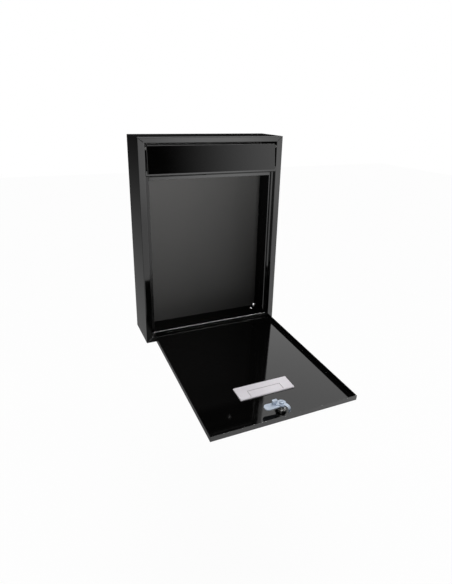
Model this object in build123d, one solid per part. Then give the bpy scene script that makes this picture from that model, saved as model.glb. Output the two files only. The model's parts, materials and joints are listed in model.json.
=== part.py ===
from build123d import *
import math
import os

# Wall-hung steel drop box with a letter flap and a bottom-hinged locking door.
# Every function models in cabinet coordinates, in millimetres: X across from the centre line, Y back
# from the front face towards the wall, Z up from the base. frame_place moves the result so that the
# origin lies midway between the two wall-screw holes, on the face that meets the wall.

# Cabinet
WIDTH = 300.0
HEIGHT = 418.0
DEPTH = 92.0
SHEET = 1.0
SIDE_FLANGE = 13.0
TOP_FLANGE = 11.0
BASE_FLANGE = 12.7
RETURN_DEPTH = 10.4
TOP_RETURN_DEPTH = 8.0
BEND_RADIUS = 1.6
SEAM_RADIUS = 1.3
SEAM_RISE = 0.4
FRAME_BEND = 1.4
SEAM_END = 2.2
HALF_OPENING = WIDTH / 2 - SIDE_FLANGE
FLANGE_TOP = HEIGHT - TOP_FLANGE

# Tolerance for picking edges by position
TINY = 0.001

# Fixing holes and drainage
HOLE_SPACING = 200.0
HOLE_HEIGHT = 385.0
HOLE_RADIUS = 3.0
DRAIN_X = 133.0
DRAIN_Y = 77.0
DRAIN_LENGTH = 9.0
DRAIN_WIDTH = 3.0
CORNER_NOTCH = 4.0

# Cross rail between the flap and the door
RAIL_BOTTOM = 346.9
RAIL_TOP = 358.0
RAIL_TOP_DEPTH = 8.0
RAIL_BEND = 2.2

# Joggled lips that the closed door shuts against
LIP_WIDTH = 8.0
LIP_LEG = 8.4
LIP_ROUND = 0.8
JOGGLE_START = 0.4
JOGGLE_RUN = 2.2
JOGGLE_SIDE = 2.0
JOGGLE_RAIL = 1.0
RAIL_LIP_GAP = 0.2

# Door
DOOR_HALF_WIDTH = 135.4
DOOR_BOTTOM = 13.35
DOOR_TOP = 345.9
DOOR_RIM = 10.0
DOOR_BOTTOM_RIM = 8.0
DOOR_BEND = 1.5
DOOR_RIM_CUT = 2.0
HEM_RADIUS = 1.2
HINGE_BACK = 4.0
HINGE_UP = 3.5
HINGE_Z = DOOR_BOTTOM + HINGE_UP
DOOR_OPEN_DEG = 92.0

# Door hinge pins and washers
PIN_RADIUS = 2.0
PIN_CLEARANCE = 0.08
PIN_INSIDE = 5.0
PIN_HEAD_RADIUS = 2.9
PIN_HEAD = 1.5
SEAT_CLEARANCE = 0.05
WASHER_RADIUS = 5.0
WASHER_GAP = 0.1

# Letter flap
FLAP_HALF_WIDTH = 134.2
FLAP_BOTTOM = 351.4
FLAP_TOP = 403.5
FLAP_FRONT = 1.4
FLAP_TOP_RETURN = 4.6
FLAP_LOWER_RETURN = 2.9
FLAP_BEND = 1.6
FLAP_CHAMFER = 2.5
FLAP_NECK_Z = 359.6
FLAP_NECK_DEPTH = 2.1
FLAP_EAR_DEPTH = 7.6
FLAP_EAR_BOTTOM = 388.0
FLAP_LEAN_DEG = 5.5
FLAP_PIN_Y = 4.0
FLAP_PIN_Z = 397.7
FLAP_PIN_RADIUS = 1.5
FLAP_PIN_HEAD_RADIUS = 2.8
FLAP_PIN_HEAD = 1.2
FLAP_BUSH_RADIUS = 3.0

# Name plate, measured down from the door's top edge
PLATE_HALF_WIDTH = 52.5
PLATE_NEAR = 68.5
PLATE_FAR = 101.0
PLATE_THICK = 2.2
TONGUE_HALF_WIDTH = 32.5
TONGUE_NEAR = 70.0
TONGUE_FAR = 85.7
TONGUE_SLIT = 1.3
POCKET_MARGIN = 2.5
POCKET_DEPTH = 0.8
WINDOW_MARGIN = 5.0
WINDOW_STEP = 0.4
WINDOW_FIT = 0.1
CARD_THICK = 0.3

# Cam lock, measured along Y from the door's outer face
LOCK_DROP = 24.5
LOCK_Z = DOOR_TOP - LOCK_DROP
BARREL_RADIUS = 8.0
BARREL_END = 11.0
BARREL_HEAD_RADIUS = 10.0
BARREL_HEAD = 2.5
BARREL_HEAD_ROUND = 1.25
BARREL_BORE = 6.0
LOCK_HOLE_FIT = 0.1
NUT_RADIUS = 9.8
NUT_THICK = 2.5
PLUG_RADIUS = 5.93
PLUG_FRONT = -2.3
PLUG_SHOULDER = 12.8
KEYWAY_WIDTH = 1.4
KEYWAY_HEIGHT = 7.0
KEYWAY_DEPTH = 6.0
TANG_SIDE = 7.0
TANG_FIT = 0.05
SCREW_RADIUS = 2.0
SCREW_HEAD_RADIUS = 4.0
SCREW_HEAD = 2.4
SCREW_HEAD_ROUND = 0.8
SCREW_LENGTH = 7.0
SCREW_TIP_GAP = 2.0
SCREW_SLOT = 1.0
CAM_THICK = 1.6
CAM_HUB_RADIUS = 8.0
CAM_WIDTH = 14.4
CAM_REACH = 32.0
CAM_NECK = 11.0
STOP_THICK = 1.4
STOP_HUB_RADIUS = 7.5
LUG_LENGTH = 9.0
LUG_WIDTH = 5.0
LUG_RISE = 5.0
LUG_ROUND = 1.0
LUG_X = -11.0
LUG_Z = -4.0
FINGER_ANGLE = 57.0
FINGER_FLAT = 8.1
FINGER_CURL = 8.4
FINGER_WIDTH = 6.4
FINGER_DROP = 11.4


def box_between(x0, x1, y0, y1, z0, z1):
    """Solid box from one corner to the other."""
    block = Box(x1 - x0, y1 - y0, z1 - z0)
    return Pos((x0 + x1) / 2, (y0 + y1) / 2, (z0 + z1) / 2) * block


def rod_x(radius, x0, x1, y, z):
    """Cylinder along X."""
    rod = Rot(0, 90, 0) * Cylinder(radius, abs(x1 - x0))
    return Pos((x0 + x1) / 2, y, z) * rod


def rod_y(radius, y0, y1, x, z):
    """Cylinder along Y."""
    rod = Rot(90, 0, 0) * Cylinder(radius, y1 - y0)
    return Pos(x, (y0 + y1) / 2, z) * rod


def profile_along_x(points, x0, x1):
    """Closed Y-Z profile carried along X."""
    wire = Polyline([(x0, y, z) for y, z in points], close=True)
    return extrude(make_face(wire), amount=x1 - x0, dir=(1, 0, 0))


def profile_along_y(points, y0, y1):
    """Closed X-Z profile carried along Y."""
    wire = Polyline([(x, y0, z) for x, z in points], close=True)
    return extrude(make_face(wire), amount=y1 - y0, dir=(0, 1, 0))


def profile_along_z(points, z0, z1):
    """Closed X-Y profile carried along Z."""
    wire = Polyline([(x, y, z0) for x, y in points], close=True)
    return extrude(make_face(wire), amount=z1 - z0, dir=(0, 0, 1))


def front_edges(solid, y):
    """Edges that lie wholly in the plane at this Y."""
    return [e for e in solid.edges() if abs(e.bounding_box().min.Y - y) < TINY
            and abs(e.bounding_box().max.Y - y) < TINY]


def mitre_seam(side, top):
    """Dressed weld bead across one corner of the front frame, where the two flanges meet."""
    outer_z = HEIGHT - BEND_RADIUS if top else BEND_RADIUS
    inner_z = FLANGE_TOP + SEAM_END if top else BASE_FLANGE - SEAM_END
    outer_x = WIDTH / 2 - BEND_RADIUS
    inner_x = HALF_OPENING + SEAM_END
    length = math.hypot(outer_x - inner_x, outer_z - inner_z)
    angle = math.degrees(math.atan2(outer_z - inner_z, side * (outer_x - inner_x)))
    sunk = SEAM_RADIUS - SEAM_RISE
    bead = rod_x(SEAM_RADIUS, -length / 2, length / 2, 0, 0)
    bead &= box_between(-length / 2, length / 2, -SEAM_RADIUS, SHEET / 2 - sunk, -SEAM_RADIUS, SEAM_RADIUS)
    centre = Pos(side * (outer_x + inner_x) / 2, sunk, (outer_z + inner_z) / 2)
    return centre * Rot(0, -angle, 0) * bead


def shell_hollow():
    """The cabinet's inside, leaving its sheet and the returns behind the front frame."""
    wide = WIDTH / 2 - SHEET
    inner = HALF_OPENING
    outer = HALF_OPENING + SHEET
    ceiling = HEIGHT - SHEET
    hollow = box_between(-wide, wide, RETURN_DEPTH, DEPTH, SHEET, ceiling)
    hollow += box_between(-outer, outer, SHEET, RETURN_DEPTH, FLANGE_TOP + SHEET, ceiling)
    hollow += box_between(-outer, outer, TOP_RETURN_DEPTH, RETURN_DEPTH, FLANGE_TOP, ceiling)
    hollow += box_between(-inner, inner, SHEET, RETURN_DEPTH, SHEET, BASE_FLANGE)
    for side in (-1, 1):
        low, high = sorted((side * outer, side * wide))
        hollow += box_between(low, high, SHEET, RETURN_DEPTH, SHEET, ceiling)
        low, high = sorted((side * inner, side * outer))
        hollow += box_between(low, high, SHEET, RETURN_DEPTH, SHEET, BASE_FLANGE)
    return hollow


def cabinet_shell():
    """Top, base and sides wrapped from sheet, with the mitred front frame and its returns."""
    half = WIDTH / 2
    body = box_between(-half, half, 0, DEPTH, 0, HEIGHT)
    body = fillet(front_edges(body, 0), BEND_RADIUS)
    body -= box_between(-HALF_OPENING, HALF_OPENING, 0, RETURN_DEPTH, BASE_FLANGE, FLANGE_TOP)
    mouth = [e for e in front_edges(body, 0) if abs(e.center().X) < half - BEND_RADIUS - TINY
             and BEND_RADIUS + TINY < e.center().Z < HEIGHT - BEND_RADIUS - TINY]
    shell = fillet(mouth, FRAME_BEND) - shell_hollow()
    for side in (-1, 1):
        low, high = sorted((side * HALF_OPENING, side * (HALF_OPENING + SHEET)))
        for top in (False, True):
            shell += mitre_seam(side, top)
        shell -= rod_x(PIN_RADIUS + SEAT_CLEARANCE, low, high, HINGE_BACK, HINGE_Z)
        shell -= rod_x(FLAP_PIN_RADIUS + SEAT_CLEARANCE, low, high, FLAP_PIN_Y, FLAP_PIN_Z)
        drain_x = side * DRAIN_X
        shell -= box_between(drain_x - DRAIN_WIDTH / 2, drain_x + DRAIN_WIDTH / 2,
                             DRAIN_Y - DRAIN_LENGTH / 2, DRAIN_Y + DRAIN_LENGTH / 2, 0, SHEET)
    return shell


def back_panel():
    """Flat rear sheet with the two wall-screw holes and a relief at each lower corner."""
    half = WIDTH / 2 - SHEET
    panel = box_between(-half, half, DEPTH - SHEET, DEPTH, SHEET, HEIGHT - SHEET)
    for side in (-1, 1):
        hole_x = side * HOLE_SPACING / 2
        panel -= rod_y(HOLE_RADIUS, DEPTH - SHEET, DEPTH, hole_x, HOLE_HEIGHT)
        low, high = sorted((side * half, side * (half - CORNER_NOTCH)))
        panel -= box_between(low, high, DEPTH - SHEET, DEPTH, SHEET, SHEET + CORNER_NOTCH)
    return panel


def joggle(near, far, depth):
    """Lip section as (across, Y) points, from the return's edge near to the free edge far, depth deeper."""
    root = RETURN_DEPTH
    way = math.copysign(1, far - near)
    start = near + way * JOGGLE_START
    end = start + way * JOGGLE_RUN
    fold = -way * SHEET / 2
    front = [(near, root), (start, root), (end, root + depth), (far, root + depth)]
    back = [(far, root + depth + SHEET), (end + fold, root + depth + SHEET),
            (start + fold, root + SHEET), (near, root + SHEET)]
    return front, back


def round_lip(strip, far, depth):
    """Rounds the front corner of a side lip's free edge."""
    front = RETURN_DEPTH + depth
    edges = [e for e in strip.edges() if abs(e.center().Y - front) < TINY
             and abs(abs(e.center().X) - far) < TINY]
    return fillet(edges, LIP_ROUND)


def door_stop(side):
    """Joggled strip behind one side return; the closed door's rim shuts in front of it."""
    root = RETURN_DEPTH
    leg = HALF_OPENING + SHEET
    edge = HALF_OPENING - LIP_WIDTH
    front, back = joggle(HALF_OPENING, edge, JOGGLE_SIDE)
    points = [(leg, root - LIP_LEG), (leg, root)] + front + back
    points += [(leg + SHEET, root + SHEET), (leg + SHEET, root - LIP_LEG)]
    strip = profile_along_z([(side * x, y) for x, y in points], SHEET, RAIL_BOTTOM)
    strip = round_lip(strip, edge, JOGGLE_SIDE)
    pin_clear = PIN_HEAD_RADIUS + PIN_HEAD
    return strip - rod_x(pin_clear, side * leg, side * (leg + SHEET), HINGE_BACK, HINGE_Z)


def cross_rail():
    """Rail between flap and door: front face, two returns and the joggled lip below."""
    root = RETURN_DEPTH
    edge = RAIL_BOTTOM - LIP_WIDTH
    channel = [(0, RAIL_BOTTOM), (root + SHEET, RAIL_BOTTOM), (root + SHEET, RAIL_BOTTOM + SHEET),
               (SHEET, RAIL_BOTTOM + SHEET), (SHEET, RAIL_TOP - SHEET),
               (RAIL_TOP_DEPTH, RAIL_TOP - SHEET), (RAIL_TOP_DEPTH, RAIL_TOP), (0, RAIL_TOP)]
    front, back = joggle(RAIL_BOTTOM, edge, JOGGLE_RAIL)
    half_lip = HALF_OPENING - LIP_WIDTH - RAIL_LIP_GAP
    rail = profile_along_x(channel, -HALF_OPENING, HALF_OPENING)
    bends = [e for e in front_edges(rail, 0) if e.length > HALF_OPENING]
    rail = fillet(bends, RAIL_BEND)
    lip = profile_along_x([(y, z) for z, y in front + back], -half_lip, half_lip)
    return rail + lip


def door_hinge_pin(side):
    """Headed pin riveted through one side return; it carries one lower corner of the door."""
    inner = side * (DOOR_HALF_WIDTH - PIN_INSIDE)
    back = side * (HALF_OPENING + SHEET)
    pin = rod_x(PIN_RADIUS, inner, back, HINGE_BACK, HINGE_Z)
    return pin + rod_x(PIN_HEAD_RADIUS, back, back + side * PIN_HEAD, HINGE_BACK, HINGE_Z)


def door_hinge_washers():
    """Two nylon washers that hold the door central between the side returns."""
    washers = []
    for side in (-1, 1):
        inner = side * (DOOR_HALF_WIDTH + WASHER_GAP)
        outer = side * (HALF_OPENING - WASHER_GAP)
        ring = rod_x(WASHER_RADIUS, inner, outer, HINGE_BACK, HINGE_Z)
        washers.append(ring - rod_x(PIN_RADIUS + SEAT_CLEARANCE, inner, outer, HINGE_BACK, HINGE_Z))
    return Compound(children=washers)


def flap_pin(side):
    """Headed pin riveted through one side return near the top; it carries one flap ear."""
    inner = side * (FLAP_HALF_WIDTH - PIN_INSIDE)
    back = side * (HALF_OPENING + SHEET)
    head = back + side * FLAP_PIN_HEAD
    pin = rod_x(FLAP_PIN_RADIUS, inner, back, FLAP_PIN_Y, FLAP_PIN_Z)
    return pin + rod_x(FLAP_PIN_HEAD_RADIUS, back, head, FLAP_PIN_Y, FLAP_PIN_Z)


def flap_bushes():
    """Two spacer bushes in the gaps between the flap's ears and the side returns."""
    bushes = []
    for side in (-1, 1):
        inner = side * (FLAP_HALF_WIDTH + WASHER_GAP)
        outer = side * (HALF_OPENING - WASHER_GAP)
        ring = rod_x(FLAP_BUSH_RADIUS, inner, outer, FLAP_PIN_Y, FLAP_PIN_Z)
        bore = rod_x(FLAP_PIN_RADIUS + SEAT_CLEARANCE, inner, outer, FLAP_PIN_Y, FLAP_PIN_Z)
        bushes.append(ring - bore)
    return Compound(children=bushes)


def letter_flap():
    """Flap over the letter slot: a shallow tray whose lower edge leans out to rest on the cross rail."""
    half = FLAP_HALF_WIDTH
    front = FLAP_FRONT
    back = front + FLAP_EAR_DEPTH
    shoulder = FLAP_TOP - FLAP_CHAMFER
    flap = box_between(-half, half, front, back, FLAP_BOTTOM, FLAP_TOP)
    bends = [e for e in front_edges(flap, front) if abs(e.center().Z - FLAP_BOTTOM) > TINY]
    flap = fillet(bends, FLAP_BEND)
    flap -= box_between(-half + SHEET, half - SHEET, front + SHEET, back,
                        FLAP_BOTTOM + SHEET, FLAP_TOP - SHEET)
    flap -= box_between(-half, half, front + FLAP_TOP_RETURN, back, shoulder, FLAP_TOP)
    outside = [(front + FLAP_LOWER_RETURN, FLAP_BOTTOM), (front + FLAP_NECK_DEPTH, FLAP_NECK_Z),
               (back, FLAP_EAR_BOTTOM), (back, FLAP_BOTTOM)]
    flap -= profile_along_x(outside, -half, half)
    for side in (-1, 1):
        corner_cut = [(side * half, shoulder), (side * half, FLAP_TOP),
                      (side * (half - FLAP_CHAMFER), FLAP_TOP)]
        flap -= profile_along_y(corner_cut, front, back)
        low, high = sorted((side * half, side * (half - SHEET)))
        flap -= rod_x(FLAP_PIN_RADIUS + PIN_CLEARANCE, low, high, FLAP_PIN_Y, FLAP_PIN_Z)
    return flap.rotate(Axis((0, FLAP_PIN_Y, FLAP_PIN_Z), (1, 0, 0)), -FLAP_LEAN_DEG)


def door_panel():
    """Shallow tray with rims on all four sides, a lock hole and the name window cut-out."""
    half = DOOR_HALF_WIDTH
    tray = box_between(-half, half, 0, DOOR_RIM, DOOR_BOTTOM, DOOR_TOP)
    tray = fillet(front_edges(tray, 0), DOOR_BEND)
    tray -= box_between(-half + SHEET, half - SHEET, SHEET, DOOR_RIM,
                        DOOR_BOTTOM + SHEET, DOOR_TOP - SHEET)
    tray -= box_between(-half + SHEET, half - SHEET, DOOR_BOTTOM_RIM, DOOR_RIM,
                        DOOR_BOTTOM, DOOR_BOTTOM + SHEET)
    tray += rod_x(HEM_RADIUS, -half + SHEET, half - SHEET, DOOR_BOTTOM_RIM - HEM_RADIUS,
                  DOOR_BOTTOM + HEM_RADIUS)
    tray -= rod_y(BARREL_RADIUS + LOCK_HOLE_FIT, 0, SHEET, 0, LOCK_Z)
    tray -= box_between(-PLATE_HALF_WIDTH + WINDOW_MARGIN, PLATE_HALF_WIDTH - WINDOW_MARGIN, 0, SHEET,
                        DOOR_TOP - PLATE_FAR + WINDOW_MARGIN, DOOR_TOP - PLATE_NEAR - WINDOW_MARGIN)
    for side in (-1, 1):
        low, high = sorted((side * half, side * (half - SHEET)))
        tray -= rod_x(PIN_RADIUS + PIN_CLEARANCE, low, high, HINGE_BACK, HINGE_Z)
        corner_cut = [(DOOR_RIM, DOOR_BOTTOM), (DOOR_RIM, DOOR_BOTTOM + DOOR_RIM_CUT),
                      (DOOR_RIM - DOOR_RIM_CUT, DOOR_BOTTOM)]
        tray -= profile_along_x(corner_cut, low, high)
    return tray


def plate_block(margin, y0, y1):
    """Block as large as the name plate less a margin all round."""
    half = PLATE_HALF_WIDTH - margin
    return box_between(-half, half, y0, y1, DOOR_TOP - PLATE_FAR + margin, DOOR_TOP - PLATE_NEAR - margin)


def nameplate_back():
    """Plastic plate inside the door with a card pocket and a three-sided tongue."""
    plate = plate_block(0, SHEET, SHEET + PLATE_THICK)
    plate -= plate_block(POCKET_MARGIN, SHEET, SHEET + POCKET_DEPTH)
    near = DOOR_TOP - TONGUE_NEAR
    far = DOOR_TOP - TONGUE_FAR
    half = TONGUE_HALF_WIDTH
    front, back = SHEET, SHEET + PLATE_THICK
    plate -= box_between(-half, half, front, back, far - TONGUE_SLIT, far)
    for side in (-1, 1):
        low, high = sorted((side * half, side * (half - TONGUE_SLIT)))
        plate -= box_between(low, high, front, back, far - TONGUE_SLIT, near)
    return plate


def nameplate_window():
    """Clear pane that fills the door's cut-out, held by its thin border behind the sheet."""
    pane = plate_block(WINDOW_MARGIN + WINDOW_FIT, 0, SHEET)
    return pane + plate_block(POCKET_MARGIN + WINDOW_FIT, SHEET, SHEET + WINDOW_STEP)


def name_card():
    """Blank card on the floor of the plate's pocket, just clear of the window."""
    back = SHEET + POCKET_DEPTH
    return plate_block(POCKET_MARGIN + WINDOW_FIT, back - CARD_THICK, back)


def lock_barrel():
    """Fixed outer body of the cam lock with its round head outside the door."""
    barrel = rod_y(BARREL_RADIUS, 0, BARREL_END, 0, LOCK_Z)
    head = rod_y(BARREL_HEAD_RADIUS, -BARREL_HEAD, 0, 0, LOCK_Z)
    head = fillet(front_edges(head, -BARREL_HEAD), BARREL_HEAD_ROUND)
    return barrel + head - rod_y(BARREL_BORE, -BARREL_HEAD, BARREL_END, 0, LOCK_Z)


def lock_nut():
    """Round nut that clamps the barrel to the door sheet."""
    nut = rod_y(NUT_RADIUS, SHEET, SHEET + NUT_THICK, 0, LOCK_Z)
    return nut - rod_y(BARREL_RADIUS + SEAT_CLEARANCE, SHEET, SHEET + NUT_THICK, 0, LOCK_Z)


def lock_plug():
    """Turning core with the keyway in front and a square tang behind for the cam."""
    tang_end = PLUG_SHOULDER + CAM_THICK + STOP_THICK - TANG_FIT
    half = TANG_SIDE / 2
    plug = rod_y(PLUG_RADIUS, PLUG_FRONT, PLUG_SHOULDER, 0, LOCK_Z)
    plug += box_between(-half, half, PLUG_SHOULDER, tang_end, LOCK_Z - half, LOCK_Z + half)
    plug -= box_between(-KEYWAY_WIDTH / 2, KEYWAY_WIDTH / 2, PLUG_FRONT, PLUG_FRONT + KEYWAY_DEPTH,
                        LOCK_Z - KEYWAY_HEIGHT / 2, LOCK_Z + KEYWAY_HEIGHT / 2)
    screw_end = tang_end - SCREW_LENGTH - SCREW_TIP_GAP
    return plug - rod_y(SCREW_RADIUS + SEAT_CLEARANCE, screw_end, tang_end, 0, LOCK_Z)


def tang_hole(y0, y1):
    """Square hole that fits over the plug's tang."""
    half = TANG_SIDE / 2 + TANG_FIT
    return box_between(-half, half, y0, y1, LOCK_Z - half, LOCK_Z + half)


def locking_cam():
    """Flat paddle cam, shown turned sideways so that the door is unlocked."""
    y0 = PLUG_SHOULDER
    y1 = PLUG_SHOULDER + CAM_THICK
    lobe_radius = CAM_WIDTH / 2
    lobe_x = -(CAM_REACH - lobe_radius)
    cam = rod_y(CAM_HUB_RADIUS, y0, y1, 0, LOCK_Z)
    cam += rod_y(lobe_radius, y0, y1, lobe_x, LOCK_Z)
    neck = [(0, LOCK_Z - CAM_NECK / 2), (0, LOCK_Z + CAM_NECK / 2),
            (lobe_x, LOCK_Z + lobe_radius), (lobe_x, LOCK_Z - lobe_radius)]
    cam += profile_along_y(neck, y0, y1)
    return cam - tang_hole(y0, y1)


def cam_stop():
    """Cast stop plate on the cam: a raised lug on one side and a finger that curls down on the other."""
    y0 = PLUG_SHOULDER + CAM_THICK
    y1 = y0 + STOP_THICK
    stop = rod_y(STOP_HUB_RADIUS, y0, y1, 0, LOCK_Z)
    lug = box_between(LUG_X - LUG_LENGTH / 2, LUG_X + LUG_LENGTH / 2, y0, y1 + LUG_RISE,
                      LOCK_Z + LUG_Z - LUG_WIDTH / 2, LOCK_Z + LUG_Z + LUG_WIDTH / 2)
    lug = fillet(lug.edges().filter_by(Axis.Y), LUG_ROUND)
    bridge = box_between(LUG_X, 0, y0, y1, LOCK_Z + LUG_Z - LUG_WIDTH / 2, LOCK_Z + LUG_WIDTH / 2)
    curl_y = y1 - FINGER_CURL
    tip_y = y1 - FINGER_DROP
    reach = FINGER_FLAT + FINGER_CURL
    blade_lines = [Line((0, y1), (FINGER_FLAT, y1)),
                   CenterArc((FINGER_FLAT, curl_y), FINGER_CURL, 0, 90),
                   Line((reach, curl_y), (reach, tip_y)),
                   Line((reach, tip_y), (reach - STOP_THICK, tip_y)),
                   Line((reach - STOP_THICK, tip_y), (reach - STOP_THICK, curl_y)),
                   CenterArc((FINGER_FLAT, curl_y), FINGER_CURL - STOP_THICK, 0, 90),
                   Line((FINGER_FLAT, y0), (0, y0)),
                   Line((0, y0), (0, y1))]
    blade = extrude(make_face(blade_lines), amount=FINGER_WIDTH / 2, both=True)
    finger = Pos(0, 0, LOCK_Z) * Rot(0, -FINGER_ANGLE, 0) * blade
    return stop + bridge + lug + finger - tang_hole(y0, y1)


def cam_screw():
    """Slotted screw that holds the cam and its stop on the plug."""
    seat = PLUG_SHOULDER + CAM_THICK + STOP_THICK
    top = seat + SCREW_HEAD
    shank_end = seat - SCREW_LENGTH
    screw = rod_y(SCREW_HEAD_RADIUS, seat, top, 0, LOCK_Z)
    screw = fillet(front_edges(screw, top), SCREW_HEAD_ROUND)
    screw += rod_y(SCREW_RADIUS, shank_end, seat, 0, LOCK_Z)
    return screw - box_between(-SCREW_HEAD_RADIUS, SCREW_HEAD_RADIUS, top - SCREW_SLOT, top,
                               LOCK_Z - SCREW_SLOT / 2, LOCK_Z + SCREW_SLOT / 2)


def opened(solid):
    """Swing a part that rides on the door from closed to its open rest position."""
    return solid.rotate(Axis((0, HINGE_BACK, HINGE_Z), (1, 0, 0)), DOOR_OPEN_DEG)


def frame_place(solid):
    """Move from cabinet coordinates to the frame with its origin between the wall holes."""
    return Pos(0, -DEPTH, -HOLE_HEIGHT) * solid


def write_parts():
    os.makedirs("parts", exist_ok=True)
    fixed = {
        "cabinet_shell": cabinet_shell(),
        "back_panel": back_panel(),
        "door_stop_left": door_stop(-1),
        "door_stop_right": door_stop(1),
        "cross_rail": cross_rail(),
        "door_hinge_pin_left": door_hinge_pin(-1),
        "door_hinge_pin_right": door_hinge_pin(1),
        "door_hinge_washers": door_hinge_washers(),
        "flap_pin_left": flap_pin(-1),
        "flap_pin_right": flap_pin(1),
        "flap_bushes": flap_bushes(),
        "letter_flap": letter_flap(),
    }
    on_door = {
        "door_panel": door_panel(),
        "nameplate_back": nameplate_back(),
        "nameplate_window": nameplate_window(),
        "name_card": name_card(),
        "lock_barrel": lock_barrel(),
        "lock_nut": lock_nut(),
        "lock_plug": lock_plug(),
        "locking_cam": locking_cam(),
        "cam_stop": cam_stop(),
        "cam_screw": cam_screw(),
    }
    for name, solid in fixed.items():
        export_step(frame_place(solid), f"parts/{name}.step")
    for name, solid in on_door.items():
        export_step(frame_place(opened(solid)), f"parts/{name}.step")


write_parts()
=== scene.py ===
import json
import math

import bpy
from mathutils import Matrix, Vector

# Looks of the wall-hung drop box: one material per finish, studio light and camera.
# Lengths are in metres and colours are linear.

VIEW_TRANSFORM = "Standard"

# Camera: its place, its turn from due north to the east, its downward tilt and its roll
CAMERA_PLACE = (-0.3324, -0.9084, 0.0876)
CAMERA_TURN_DEGREES = 24.003
CAMERA_TILT_DEGREES = 20.2375
CAMERA_ROLL_DEGREES = 1.1966
CAMERA_LENS_MM = 27.25
CAMERA_SENSOR_MM = 36.0
CAMERA_SHIFT = (-0.00194, -0.03864)

# Surroundings that reflections show, laid out by bearing, in degrees from the front and positive to the
# east, and by rise, the sine of the elevation. A pair holds the two ends of one change. Brightness 1 is
# white. FRONT_SOUTH is how far south a direction points while the back gives way to the front.
FRONT_SOUTH = (-0.1, 0.25)
TABLE_BEARING = (12.0, 28.0)
TABLE_BRIGHTNESS = (1.2, 1.5)
TABLE_HORIZON = (-0.005, -0.035)
TABLE_FOOT_RISE = (-0.85, -0.5)
TABLE_FOOT_SHARE = (0.6, 1.0)
GLOW_WEST_BEARING = (10.0, 21.0)
GLOW_EAST_BEARING = (31.0, 24.5)
GLOW_RISE = (-0.26, -0.14)
GLOW_BASE = 0.45
GLOW_GAIN = 0.8
# Painted shadow of the box on the table: a darker patch of the surroundings below the open door.
DOOR_SHADOW_BEARING = (22.0, 16.0)
DOOR_SHADOW_RISE = (-0.42, -0.45)
DOOR_SHADOW_DIMMING = 0.88
EAST_WINDOW_BEARING = (15.0, 33.0)
EAST_WINDOW_BRIGHTNESS = 1.5
WEST_WINDOW_BEARING = (-18.0, -40.0)
WEST_WINDOW_BRIGHTNESS = 1.3
WINDOW_SILL = (-0.005, 0.02)
WINDOW_HEAD = (0.34, 0.22)
BACK_LOW_RISE = (0.0, -0.55)
BACK_LOW_BRIGHTNESS = (0.012, 0.245)
BACK_HIGH_BEARING = (95.0, 120.0)
BACK_HIGH_RISE = (0.12, 0.3)
BACK_HIGH_BRIGHTNESS = 1.15
CEILING_RISE = (0.62, 0.85)

# Lamps
STRIP_PLACE = (0.6, -1.6, 1.55)
STRIP_TARGET = (0.0, -0.2, -0.2)
STRIP_LENGTH = 3.4
SPOT_PLACE = (0.0, -1.1, 0.15)
SPOT_TARGET = (-0.47, 0.0, 0.42)
SPOT_CONE_DEGREES = 100.0
SPOT_RADIUS = 0.12
SPOT_WATTS = 178.0
FILL_PLACE = (0.0, -0.5, 1.3)
FILL_TARGET = (0.0, -0.4, -0.38)
FILL_SIDE = 0.8
FILL_WATTS = 7.0

# Floor: far below the hanging box, and mostly its own even glow
FLOOR_LEVEL = -0.9
FLOOR_HALF_SIDE = 6.0
FLOOR_PAINT_SHARE = 0.06

# Enamel: the gloss one, the left stop's, and the back panel's wall side and inside
GLOSS_FINISH = {"gloss_rough": 0.045, "peel_depth": 0.000012}
STRIP_FINISH = {"gloss_rough": 0.22, "peel_depth": 0.00001, "depth": 0.002, "smear": 0.5, "ior": 1.43}
REAR_FINISH = {"gloss_rough": 0.12, "peel_depth": 0.00001, "depth": 0.02, "lift": 0.006}
# The inside's reflection in the gloss door is painted darker than its lighting gives (the share below 1).
MATT_FINISH = {"gloss_rough": 0.55, "peel_depth": 0.000008, "depth": 0.03, "lift": 0.004, "smear": 0.25,
               "ior": 1.18, "coat": 0.0, "painted_reflection_share": 0.35}
WORN_ENAMEL = (0.055, 0.055, 0.058, 1.0)
WORN_ENAMEL_ROUGHER = 0.18
EASED_EDGE = 0.0003
GRIT_TO_PEEL = 0.12
COAT_TO_GLOSS_ROUGH = 0.6

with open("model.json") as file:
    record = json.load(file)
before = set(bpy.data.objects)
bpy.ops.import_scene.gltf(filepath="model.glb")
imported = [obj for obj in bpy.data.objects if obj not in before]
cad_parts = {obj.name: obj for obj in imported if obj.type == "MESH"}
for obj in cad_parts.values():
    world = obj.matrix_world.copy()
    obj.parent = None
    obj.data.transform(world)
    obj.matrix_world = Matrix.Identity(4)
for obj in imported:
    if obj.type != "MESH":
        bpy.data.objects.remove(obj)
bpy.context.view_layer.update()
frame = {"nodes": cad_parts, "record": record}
NODES = frame["nodes"]


# ---------------------------------------------------------------- shader helpers

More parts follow.
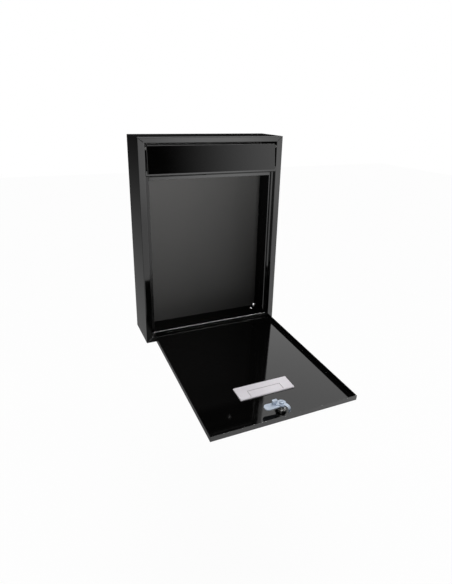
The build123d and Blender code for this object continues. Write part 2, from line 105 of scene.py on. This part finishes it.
class Graph:
    """Builds one material's or world's node tree with short calls."""

    def __init__(self, tree):
        self.tree = tree
        self.tree.nodes.clear()

    def node(self, kind, values=None, **settings):
        """A new node, its settings set and its inputs fed from values."""
        made = self.tree.nodes.new(kind)
        for key, value in settings.items():
            setattr(made, key, value)
        for key, value in (values or {}).items():
            self.feed(made.inputs[key], value)
        return made

    def feed(self, socket, value):
        """Links value to the input if it is another node's output, or else sets it."""
        if isinstance(value, bpy.types.NodeSocket):
            self.tree.links.new(value, socket)
        else:
            socket.default_value = value

    def math(self, operation, a, b=0.0, c=0.0):
        return self.node("ShaderNodeMath", {0: a, 1: b, 2: c}, operation=operation).outputs[0]

    def product(self, *factors):
        total = factors[0]
        for factor in factors[1:]:
            total = self.math("MULTIPLY", total, factor)
        return total

    def ramp(self, value, low, high, out_low=0.0, out_high=1.0):
        """Smooth step of value from low..high to out_low..out_high."""
        made = self.node("ShaderNodeMapRange",
                         {"Value": value, "From Min": low, "From Max": high,
                          "To Min": out_low, "To Max": out_high},
                         interpolation_type="SMOOTHSTEP", clamp=True)
        return made.outputs["Result"]

    def mix(self, factor, a, b):
        """Colour a where factor is 0 and colour b where it is 1."""
        made = self.node("ShaderNodeMix", data_type="RGBA")
        self.feed(made.inputs[0], factor)
        self.feed(made.inputs[6], a)
        self.feed(made.inputs[7], b)
        return made.outputs[2]

    def noise(self, place, scale, detail=3.0, roughness=0.5, distortion=0.0):
        made = self.node("ShaderNodeTexNoise",
                         {"Vector": place, "Scale": scale, "Detail": detail,
                          "Roughness": roughness, "Distortion": distortion})
        return made.outputs["Fac"]

    def stretch(self, place, scale):
        """Coordinates scaled per axis, so that a pattern runs along the axis with the least scale."""
        return self.node("ShaderNodeMapping", {"Vector": place, "Scale": scale}).outputs["Vector"]

    def bump(self, height, depth, normal=None):
        values = {"Height": height, "Distance": depth}
        if normal is not None:
            values["Normal"] = normal
        return self.node("ShaderNodeBump", values).outputs["Normal"]

    def bevel(self, radius):
        """Normal that turns smoothly round an edge over the given radius."""
        return self.node("ShaderNodeBevel", {"Radius": radius}, samples=4).outputs["Normal"]

    def output(self, shader):
        self.node("ShaderNodeOutputMaterial", {"Surface": shader})


def new_material(name):
    """A material with an empty tree, its graph, and the object coordinates that drive its detail."""
    material = bpy.data.materials.new(name)
    material.use_nodes = True
    graph = Graph(material.node_tree)
    place = graph.node("ShaderNodeTexCoord").outputs["Object"]
    return material, graph, place


def edge_wear(graph, place, radius, reach):
    """1 on sharp edges and 0 on flats, broken up by noise: where a finish rubs thin first."""
    flat = graph.node("ShaderNodeNewGeometry").outputs["Normal"]
    dot = graph.node("ShaderNodeVectorMath", {0: graph.bevel(radius), 1: flat}, operation="DOT_PRODUCT")
    turned = graph.math("SUBTRACT", 1.0, dot.outputs["Value"])
    worn = graph.ramp(turned, 0.02, reach)
    patches = graph.ramp(graph.noise(place, scale=90.0, detail=4.0, roughness=0.6), 0.45, 0.62)
    return graph.product(worn, patches)


def principled(graph, values):
    return graph.node("ShaderNodeBsdfPrincipled", values).outputs["BSDF"]


# ---------------------------------------------------------------- materials

def enamel(graph, place, gloss_rough, peel_depth, depth=0.0013, lift=0.001, smear=1.0, ior=1.5,
           coat=0.15, painted_reflection_share=1.0):
    """Shader of stove enamel on sheet steel: black, faint orange peel, dust, smears and rubbed edges.

    depth and lift are the darkest tint and how much lighter its clouds are. The last argument scales the
    tint where it shows in another piece's gloss: below 1 it paints a darker reflection, a painted shade
    seen in glossy rays only.
    """
    peel = graph.noise(place, scale=260.0, detail=2.0, roughness=0.45)
    grit = graph.noise(place, scale=1500.0, detail=2.0)
    clouds = graph.noise(place, scale=9.0, detail=4.0, roughness=0.55, distortion=0.6)
    smears = graph.noise(graph.stretch(place, (6.0, 6.0, 22.0)), scale=3.0, detail=5.0, roughness=0.6,
                         distortion=1.2)
    rubbed = edge_wear(graph, place, radius=0.0007, reach=0.25)
    light = depth + lift
    tint = graph.mix(clouds, (depth, depth, depth * 0.98, 1.0), (light, light * 0.98, light * 0.96, 1.0))
    tint = graph.mix(graph.product(rubbed, 0.5), tint, WORN_ENAMEL)
    # Painted shade: in glossy rays the tint is pulled toward black, so this surface's reflection in other
    # pieces is painted darker.
    if painted_reflection_share < 1.0:
        in_gloss = graph.node("ShaderNodeLightPath").outputs["Is Glossy Ray"]
        tint = graph.mix(graph.product(in_gloss, 1.0 - painted_reflection_share), tint, (0.0, 0.0, 0.0, 1.0))
    smeared_rough = gloss_rough + smear * (gloss_rough * 0.5 + 0.01)
    rough = graph.ramp(smears, 0.35, 0.75, gloss_rough, smeared_rough)
    rough = graph.math("MULTIPLY_ADD", rubbed, WORN_ENAMEL_ROUGHER, rough)
    normal = graph.bump(peel, peel_depth, graph.bevel(EASED_EDGE))
    normal = graph.bump(grit, peel_depth * GRIT_TO_PEEL, normal)
    return principled(graph, {"Base Color": tint, "Roughness": rough, "Normal": normal, "IOR": ior,
                              "Coat Weight": coat, "Coat Roughness": gloss_rough * COAT_TO_GLOSS_ROUGH})


def black_enamel(name, finish, rear_finish=None):
    """Enamel of one finish, with rear_finish, if given, on the faces turned to the wall."""
    material, graph, place = new_material(name)
    shader = enamel(graph, place, **finish)
    if rear_finish:
        facing = graph.node("ShaderNodeNewGeometry").outputs["True Normal"]
        north = graph.node("ShaderNodeSeparateXYZ", {0: facing}).outputs[1]
        to_wall = graph.math("GREATER_THAN", north, 0.5)
        rear = enamel(graph, place, **rear_finish)
        shader = graph.node("ShaderNodeMixShader", {0: to_wall, 1: shader, 2: rear}).outputs[0]
    graph.output(shader)
    return material


def moulded_plastic(name, light, dark, rough, grain_depth):
    """Satin moulded plastic: fine spark-eroded grain, slight colour drift, duller edges."""
    material, graph, place = new_material(name)
    drift = graph.noise(place, scale=24.0)
    grain = graph.noise(place, scale=2600.0, roughness=0.6)
    flow = graph.noise(graph.stretch(place, (3.0, 30.0, 30.0)), scale=6.0, distortion=0.4)
    rubbed = edge_wear(graph, place, radius=0.0004, reach=0.3)
    tint = graph.mix(graph.ramp(drift, 0.3, 0.7), dark, light)
    tint = graph.mix(graph.product(rubbed, 0.35), tint, (0.5, 0.49, 0.5, 1.0))
    graph.output(principled(graph, {
        "Base Color": tint, "Roughness": graph.ramp(flow, 0.3, 0.7, rough - 0.05, rough + 0.08),
        "Normal": graph.bump(grain, grain_depth), "IOR": 1.5, "Subsurface Weight": 0.08,
        "Subsurface Radius": (0.001, 0.001, 0.001), "Subsurface Scale": 0.5}))
    return material


def clear_plastic(name):
    """Polished clear pane with hairline scratches, which lets light through to what it covers."""
    material, graph, place = new_material(name)
    hairs = graph.noise(graph.stretch(place, (4.0, 60.0, 60.0)), scale=40.0, detail=2.0, distortion=0.8)
    haze = graph.noise(place, scale=30.0, detail=4.0, roughness=0.6)
    scratch = graph.ramp(hairs, 0.62, 0.7)
    tint = graph.mix(haze, (0.95, 0.965, 0.97, 1.0), (0.98, 0.985, 0.985, 1.0))
    ray = graph.node("ShaderNodeLightPath").outputs
    lit_through = graph.math("MAXIMUM", ray["Is Shadow Ray"], ray["Is Diffuse Ray"])
    graph.output(principled(graph, {
        "Base Color": tint, "Roughness": graph.math("MULTIPLY_ADD", scratch, 0.12, 0.03),
        "Normal": graph.bump(scratch, 0.00001), "IOR": 1.49, "Transmission Weight": 0.96,
        "Alpha": graph.math("SUBTRACT", 1.0, lit_through)}))
    return material


def card(name):
    """Uncoated card: fibres, a soft tooth and a little yellowing."""
    material, graph, place = new_material(name)
    fibres = graph.noise(graph.stretch(place, (40.0, 14.0, 40.0)), scale=60.0, detail=5.0, roughness=0.65,
                         distortion=1.5)
    tooth = graph.noise(place, scale=3500.0, roughness=0.6)
    age = graph.noise(place, scale=16.0)
    tint = graph.mix(fibres, (0.56, 0.545, 0.51, 1.0), (0.64, 0.63, 0.60, 1.0))
    tint = graph.mix(graph.product(age, 0.25), tint, (0.6, 0.56, 0.5, 1.0))
    graph.output(principled(graph, {
        "Base Color": tint, "Roughness": graph.ramp(fibres, 0.2, 0.8, 0.72, 0.88),
        "Normal": graph.bump(tooth, 0.00002, graph.bump(fibres, 0.00003))}))
    return material


def plated_metal(name, light, dark, rough, cloud_scale, brush, metallic=1.0, line=1.0):
    """Plated or turned metal: clouded tint, fine lines, specks and brighter rubbed edges.

    brush stretches the lines per axis and line scales their depth.
    """
    material, graph, place = new_material(name)
    clouds = graph.noise(place, scale=cloud_scale, detail=4.0, roughness=0.6, distortion=0.8)
    lines = graph.noise(graph.stretch(place, brush), scale=300.0, roughness=0.55)
    specks = graph.noise(place, scale=1800.0, detail=2.0)
    rubbed = edge_wear(graph, place, radius=0.0005, reach=0.3)
    tint = graph.mix(graph.ramp(clouds, 0.3, 0.7), dark, light)
    tint = graph.mix(graph.product(rubbed, 0.5), tint, (0.9, 0.91, 0.92, 1.0))
    rough_clouds = graph.ramp(clouds, 0.3, 0.72, rough * 0.75, rough * 1.3)
    graph.output(principled(graph, {
        "Base Color": tint, "Metallic": metallic,
        "Roughness": graph.math("MULTIPLY_ADD", lines, 0.06, rough_clouds),
        "Normal": graph.bump(specks, 0.000004, graph.bump(lines, 0.000008 * line))}))
    return material


SLOT_MATERIAL = {
    "gloss_black_paint": black_enamel("gloss_black_enamel", GLOSS_FINISH),
    "white_plastic": moulded_plastic("white_moulded_plastic", light=(0.78, 0.75, 0.79, 1.0),
                                     dark=(0.72, 0.69, 0.73, 1.0), rough=0.33, grain_depth=0.000012),
    "clear_plastic": clear_plastic("clear_pane"),
    "card_stock": card("uncoated_card"),
    "zinc_plate": plated_metal("bluish_zinc_plate", light=(0.55, 0.61, 0.69, 1.0),
                               dark=(0.40, 0.46, 0.55, 1.0), rough=0.42, cloud_scale=60.0,
                               brush=(1.0, 8.0, 1.0), metallic=0.62, line=0.5),
    "nickel_plate": plated_metal("bright_nickel_plate", light=(0.76, 0.75, 0.73, 1.0),
                                 dark=(0.66, 0.65, 0.63, 1.0), rough=0.2, cloud_scale=45.0,
                                 brush=(6.0, 6.0, 1.0), metallic=0.95, line=0.1),
    "steel_pin": plated_metal("turned_steel", light=(0.56, 0.56, 0.57, 1.0),
                              dark=(0.42, 0.42, 0.43, 1.0), rough=0.28, cloud_scale=80.0,
                              brush=(12.0, 1.0, 1.0)),
    "black_nylon": moulded_plastic("black_nylon", light=(0.014, 0.014, 0.015, 1.0),
                                   dark=(0.009, 0.009, 0.01, 1.0), rough=0.4, grain_depth=0.00001),
    "nylon": moulded_plastic("grey_nylon", light=(0.15, 0.15, 0.145, 1.0),
                             dark=(0.11, 0.11, 0.105, 1.0), rough=0.45, grain_depth=0.000015),
}
OWN_MATERIAL = {
    "back_panel": black_enamel("inner_black_enamel", MATT_FINISH, REAR_FINISH),
    "door_stop_left": black_enamel("strip_black_enamel", STRIP_FINISH),
}


def dress_nodes():
    """Gives every CAD node its own material, or else its slot's."""
    for part in frame["record"]["subparts"]:
        name = part["node"]
        node = NODES[name]
        node.data.materials.clear()
        node.data.materials.append(OWN_MATERIAL.get(name) or SLOT_MATERIAL[part["material_slot"]])


# ---------------------------------------------------------------- surroundings

def table_light(graph, bearing, rise):
    """Pale table below the horizon, with a glow near its far edge and a painted shadow of the box on it,
    under the door.
    """
    glow = graph.product(graph.ramp(bearing, *GLOW_WEST_BEARING), graph.ramp(bearing, *GLOW_EAST_BEARING))
    glow = graph.math("MULTIPLY_ADD", glow, GLOW_GAIN, GLOW_BASE)
    glow = graph.product(glow, graph.ramp(rise, *GLOW_RISE))
    table = graph.math("ADD", graph.ramp(bearing, *TABLE_BEARING, *TABLE_BRIGHTNESS), glow)
    # Painted shadow: the table is dimmed below the open door.
    door_shadow = graph.product(graph.ramp(bearing, *DOOR_SHADOW_BEARING), graph.ramp(rise, *DOOR_SHADOW_RISE))
    return graph.product(table, graph.ramp(rise, *TABLE_HORIZON),
                         graph.ramp(rise, *TABLE_FOOT_RISE, *TABLE_FOOT_SHARE),
                         graph.math("MULTIPLY_ADD", door_shadow, -DOOR_SHADOW_DIMMING, 1.0))


def window_light(graph, bearing, rise):
    """Two low windows, one each side of a dark gap straight ahead."""
    east = graph.ramp(bearing, *EAST_WINDOW_BEARING, 0.0, EAST_WINDOW_BRIGHTNESS)
    west = graph.ramp(bearing, *WEST_WINDOW_BEARING, 0.0, WEST_WINDOW_BRIGHTNESS)
    return graph.product(graph.math("ADD", east, west), graph.ramp(rise, *WINDOW_SILL),
                         graph.ramp(rise, *WINDOW_HEAD))


def back_light(graph, bearing, rise):
    """Dim floor and a bright upper east side, behind the box."""
    low = graph.ramp(rise, *BACK_LOW_RISE, *BACK_LOW_BRIGHTNESS)
    high = graph.product(graph.ramp(bearing, *BACK_HIGH_BEARING, 0.0, BACK_HIGH_BRIGHTNESS),
                         graph.ramp(rise, *BACK_HIGH_RISE))
    return graph.math("ADD", low, high)


def studio_world():
    """White to the camera, and the designed surroundings to every other ray."""
    world = bpy.data.worlds.new("studio")
    world.use_nodes = True
    bpy.context.scene.world = world
    graph = Graph(world.node_tree)
    direction = graph.node("ShaderNodeTexCoord").outputs["Generated"]
    east, north, rise = graph.node("ShaderNodeSeparateXYZ", {0: direction}).outputs
    south = graph.product(north, -1.0)
    bearing = graph.math("DEGREES", graph.math("ARCTAN2", east, south))
    front_share = graph.ramp(south, *FRONT_SOUTH)
    front = graph.math("ADD", table_light(graph, bearing, rise), window_light(graph, bearing, rise))
    front = graph.product(front, front_share)
    back = graph.product(back_light(graph, bearing, rise), graph.math("SUBTRACT", 1.0, front_share))
    total = graph.math("ADD", graph.math("ADD", front, back), graph.ramp(rise, *CEILING_RISE))
    seen = graph.node("ShaderNodeLightPath").outputs["Is Camera Ray"]
    strength = graph.math("MULTIPLY_ADD", seen, graph.math("SUBTRACT", 1.0, total), total)
    shader = graph.node("ShaderNodeBackground", {"Color": (1.0, 1.0, 1.0, 1.0), "Strength": strength})
    graph.node("ShaderNodeOutputWorld", {"Surface": shader.outputs[0]})


def pale_floor():
    """Plain pale floor, seen by the camera only."""
    mesh = bpy.data.meshes.new("floor")
    corners = [(x * FLOOR_HALF_SIDE, y * FLOOR_HALF_SIDE, FLOOR_LEVEL)
               for x, y in ((-1, -1), (1, -1), (1, 1), (-1, 1))]
    mesh.from_pydata(corners, [], [(0, 1, 2, 3)])
    floor = bpy.data.objects.new("floor", mesh)
    bpy.context.scene.collection.objects.link(floor)
    floor.visible_glossy = False
    floor.visible_diffuse = False
    floor.visible_transmission = False
    material, graph, place = new_material("pale_floor")
    tint = graph.mix(graph.noise(place, scale=3.0), (0.93, 0.93, 0.93, 1.0), (0.97, 0.97, 0.97, 1.0))
    glow = graph.node("ShaderNodeEmission", {"Color": (1.0, 1.0, 1.0, 1.0), "Strength": 1.0})
    paint = graph.node("ShaderNodeBsdfDiffuse", {"Color": tint})
    both = graph.node("ShaderNodeMixShader",
                      {0: FLOOR_PAINT_SHARE, 1: glow.outputs[0], 2: paint.outputs[0]})
    graph.output(both.outputs[0])
    mesh.materials.append(material)


# ---------------------------------------------------------------- lamps and camera

def add_lamp(name, data, watts, place, target):
    """A lamp at place that faces target and that the camera doesn't see."""
    data.energy = watts
    lamp = bpy.data.objects.new(name, data)
    lamp.location = place
    lamp.rotation_euler = (Vector(target) - Vector(place)).to_track_quat("-Z", "Y").to_euler()
    lamp.visible_camera = False
    lamp.visible_transmission = False
    bpy.context.scene.collection.objects.link(lamp)
    return lamp


def strip_lamp(name, width, watts):
    """Long softbox, high in front, that shows in glossy reflections only: it draws the bends and edges."""
    data = bpy.data.lights.new(name, "AREA")
    data.shape = "RECTANGLE"
    data.size = STRIP_LENGTH
    data.size_y = width
    lamp = add_lamp(name, data, watts, STRIP_PLACE, STRIP_TARGET)
    lamp.visible_diffuse = False
    return lamp


def inside_spot():
    """Spot for the matt inside of the back panel. It leaves no image in the gloss surfaces."""
    data = bpy.data.lights.new("inside_spot", "SPOT")
    data.spot_size = math.radians(SPOT_CONE_DEGREES)
    data.spot_blend = 1.0
    data.shadow_soft_size = SPOT_RADIUS
    lamp = add_lamp("inside_spot", data, SPOT_WATTS, SPOT_PLACE, SPOT_TARGET)
    lamp.visible_glossy = False
    return lamp


def overhead_fill():
    """Soft lamp over the open door that leaves no image in the gloss surfaces."""
    data = bpy.data.lights.new("overhead_fill", "AREA")
    data.shape = "SQUARE"
    data.size = FILL_SIDE
    add_lamp("overhead_fill", data, FILL_WATTS, FILL_PLACE, FILL_TARGET).visible_glossy = False


def node_group(name, nodes):
    """A collection of the named CAD nodes, for light linking."""
    group = bpy.data.collections.new(name)
    for node in nodes:
        group.objects.link(NODES[node])
    return group


def add_lamps():
    """A strip for all edges, a strong one for the door's hinge line, the inside spot and the fill."""
    strip_lamp("overhead_strip", width=0.5, watts=30.0)
    hinge_strip = strip_lamp("hinge_strip", width=0.7, watts=700.0)
    hinge_strip.light_linking.receiver_collection = node_group("hinge_strip_lights", ["door_panel"])
    spot_linking = inside_spot().light_linking
    spot_linking.receiver_collection = node_group("inside_spot_lights", ["back_panel"])
    spot_linking.blocker_collection = node_group("inside_spot_shadows",
                                                 ["back_panel", "cabinet_shell", "letter_flap"])
    overhead_fill()


def add_camera():
    """Camera at the product shot's viewpoint."""
    data = bpy.data.cameras.new("camera")
    data.lens = CAMERA_LENS_MM
    data.sensor_width = CAMERA_SENSOR_MM
    data.shift_x, data.shift_y = CAMERA_SHIFT
    camera = bpy.data.objects.new("camera", data)
    turn = Matrix.Rotation(math.radians(-CAMERA_TURN_DEGREES), 4, "Z")
    tilt = Matrix.Rotation(math.radians(90.0 - CAMERA_TILT_DEGREES), 4, "X")
    roll = Matrix.Rotation(math.radians(CAMERA_ROLL_DEGREES), 4, "Z")
    camera.matrix_world = Matrix.Translation(Vector(CAMERA_PLACE)) @ turn @ tilt @ roll
    bpy.context.scene.collection.objects.link(camera)
    bpy.context.scene.camera = camera


dress_nodes()
studio_world()
pale_floor()
add_lamps()
add_camera()
bpy.context.scene.view_settings.view_transform = VIEW_TRANSFORM
